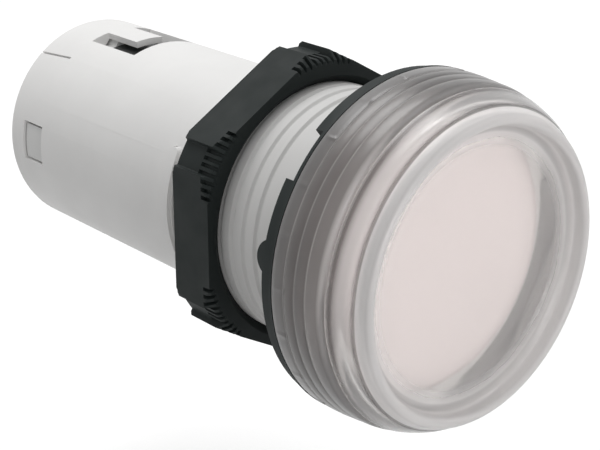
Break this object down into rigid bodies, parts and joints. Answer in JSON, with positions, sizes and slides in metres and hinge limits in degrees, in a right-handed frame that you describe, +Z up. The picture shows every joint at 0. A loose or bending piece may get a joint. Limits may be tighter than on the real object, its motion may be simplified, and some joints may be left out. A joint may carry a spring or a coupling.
{
  "type": "panel pilot light",
  "caption": "Round indicator light for a 22 mm panel hole: frosted dished lens, gasket, threaded neck with hex locking nut, tubular body with rear screw terminals.",
  "frame": {"origin": "on the light's axis, in the plane where the gasket's rear face meets the front of the panel", "axes": "+Y along the axis, from the panel towards the terminals, so the lens faces -Y; +Z up, through the middle of the tongue on top of the body; +X to the right seen from the front"},
  "size_m": [0.029, 0.0523, 0.0288],
  "materials": {
    "lens": "gloss, milky translucent",
    "diffuser": "matte opal",
    "seal": "matte",
    "housing": "satin",
    "nut": "satin",
    "cover": "satin",
    "carrier": "satin",
    "brass": "plain",
    "plated_steel": "zinc plated",
    "board": "solder mask",
    "led_board": "white solder mask",
    "led_package": "moulded",
    "header": "moulded",
    "electrolytic": "sleeved",
    "film_box": "moulded",
    "rectifier": "moulded",
    "resistor": "lacquered",
    "varistor": "epoxy coated"
  },
  "bodies": {
    "light": {"lens": "lens", "diffuser": "diffuser", "panel_gasket": "seal", "housing": "housing", "rear_cover": "cover", "terminal_carrier": "carrier", "terminal_strip_1": "brass", "terminal_strip_2": "brass", "main_board": "board", "led_board": "led_board", "board_header": "header", "led_1": "led_package", "led_2": "led_package", "led_3": "led_package", "led_4": "led_package", "led_5": "led_package", "led_6": "led_package", "electrolytic_capacitor": "electrolytic", "film_capacitor": "film_box", "bridge_rectifier": "rectifier", "resistor_1": "resistor", "resistor_2": "resistor", "varistor": "varistor"},
    "nut": {"locking_nut": "nut"},
    "clamp_1": {"clamp_plate_1": "plated_steel"},
    "screw_1": {"terminal_screw_1": "plated_steel"},
    "clamp_2": {"clamp_plate_2": "plated_steel"},
    "screw_2": {"terminal_screw_2": "plated_steel"}
  },
  "joints": [
    {"name": "nut_travel", "type": "slide", "parent": "light", "child": "nut", "axis": [0, 1, 0], "range_m": [-0.006, 0.003]},
    {"name": "clamp_lift_1", "type": "slide", "parent": "light", "child": "clamp_1", "axis": [0, 1, 0], "range_m": [0, 0.0025]},
    {"name": "screw_turn_1", "type": "hinge", "parent": "clamp_1", "child": "screw_1", "pos_m": [-0.0039, 0.0372, -0.0023], "axis": [0, 1, 0], "range_deg": [0, 1800]},
    {"name": "clamp_lift_2", "type": "slide", "parent": "light", "child": "clamp_2", "axis": [0, 1, 0], "range_m": [0, 0.0025]},
    {"name": "screw_turn_2", "type": "hinge", "parent": "clamp_2", "child": "screw_2", "pos_m": [0.0039, 0.0372, -0.0023], "axis": [0, 1, 0], "range_deg": [0, 1800]}
  ],
  "couplings": [
    {"joint": "screw_turn_1", "follows": "clamp_lift_1", "rad_per_m": 12566},
    {"joint": "screw_turn_2", "follows": "clamp_lift_2", "rad_per_m": 12566}
  ]
}
